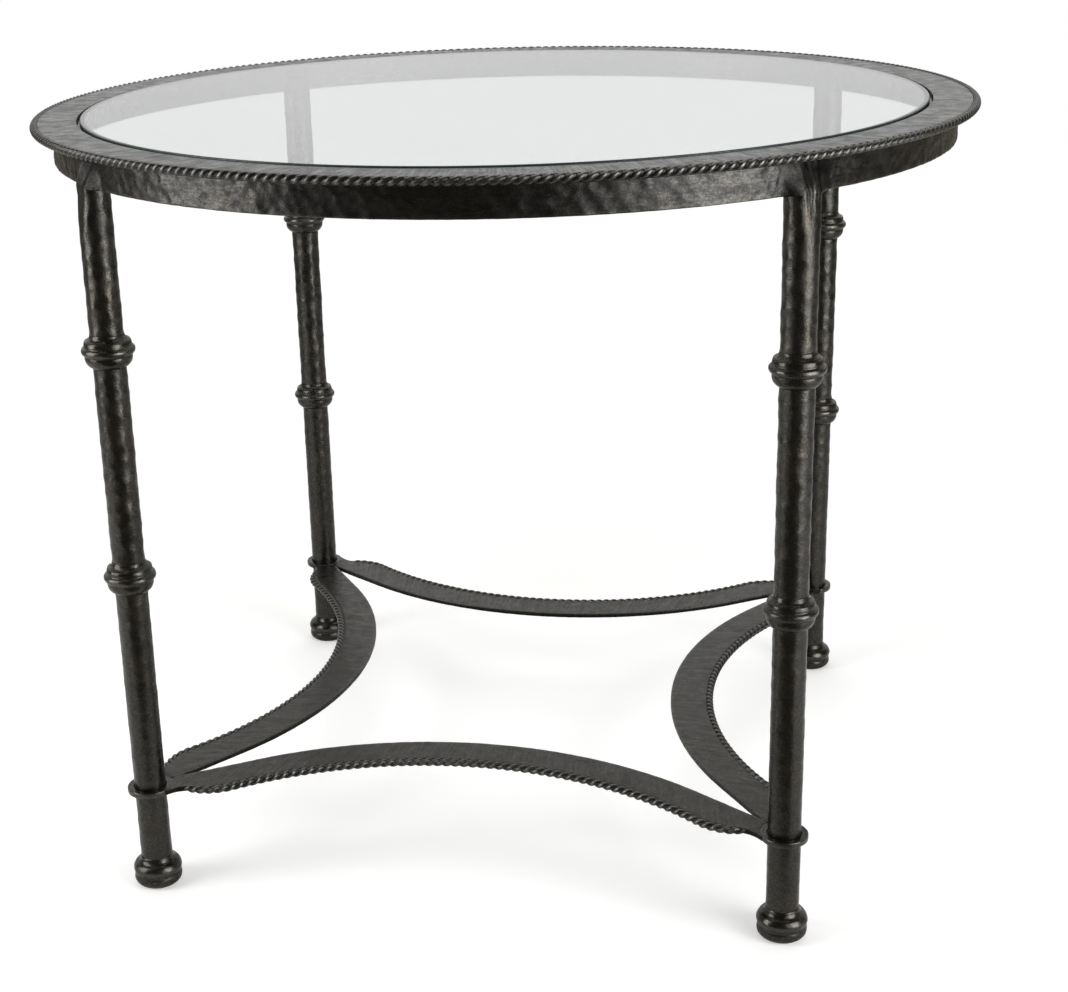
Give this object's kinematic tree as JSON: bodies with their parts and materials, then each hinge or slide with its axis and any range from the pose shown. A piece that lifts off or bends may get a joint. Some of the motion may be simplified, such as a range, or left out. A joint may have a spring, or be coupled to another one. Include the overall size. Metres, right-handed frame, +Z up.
{
  "type": "round iron table",
  "caption": "Round table with a drop-in glass top in a flat iron rim with a twisted bead, round collared legs and a low stretcher of inward bowed bars",
  "frame": {"origin": "on the floor under the middle of the top", "axes": "+Z up; the legs stand on the diagonals; -Y is the front, which faces the viewer of the picture"},
  "size_m": [0.9143, 0.9144, 0.7303],
  "materials": {
    "iron": "hand hammered and brushed, blackened and waxed to a satin sheen",
    "glass": "clear float glass with a ground, slightly green edge"
  },
  "bodies": {
    "frame": {"rim_rope": "iron", "top_rim": "iron", "apron_band": "iron", "glass_ledge": "iron", "leg_front_right": "iron", "upper_collar_front_right": "iron", "lower_collar_front_right": "iron", "foot_front_right": "iron", "stretcher_eye_front_right": "iron", "leg_back_right": "iron", "upper_collar_back_right": "iron", "lower_collar_back_right": "iron", "foot_back_right": "iron", "stretcher_eye_back_right": "iron", "leg_back_left": "iron", "upper_collar_back_left": "iron", "lower_collar_back_left": "iron", "foot_back_left": "iron", "stretcher_eye_back_left": "iron", "leg_front_left": "iron", "upper_collar_front_left": "iron", "lower_collar_front_left": "iron", "foot_front_left": "iron", "stretcher_eye_front_left": "iron", "stretcher_bar_front": "iron", "stretcher_rope_front": "iron", "stretcher_bar_right": "iron", "stretcher_rope_right": "iron", "stretcher_bar_back": "iron", "stretcher_rope_back": "iron", "stretcher_bar_left": "iron", "stretcher_rope_left": "iron"},
    "glass": {"glass_top": "glass"}
  },
  "joints": [
    {"name": "glass_lift", "type": "slide", "parent": "frame", "child": "glass", "axis": [0, 0, 1], "range_m": [0, 0.15]}
  ]
}
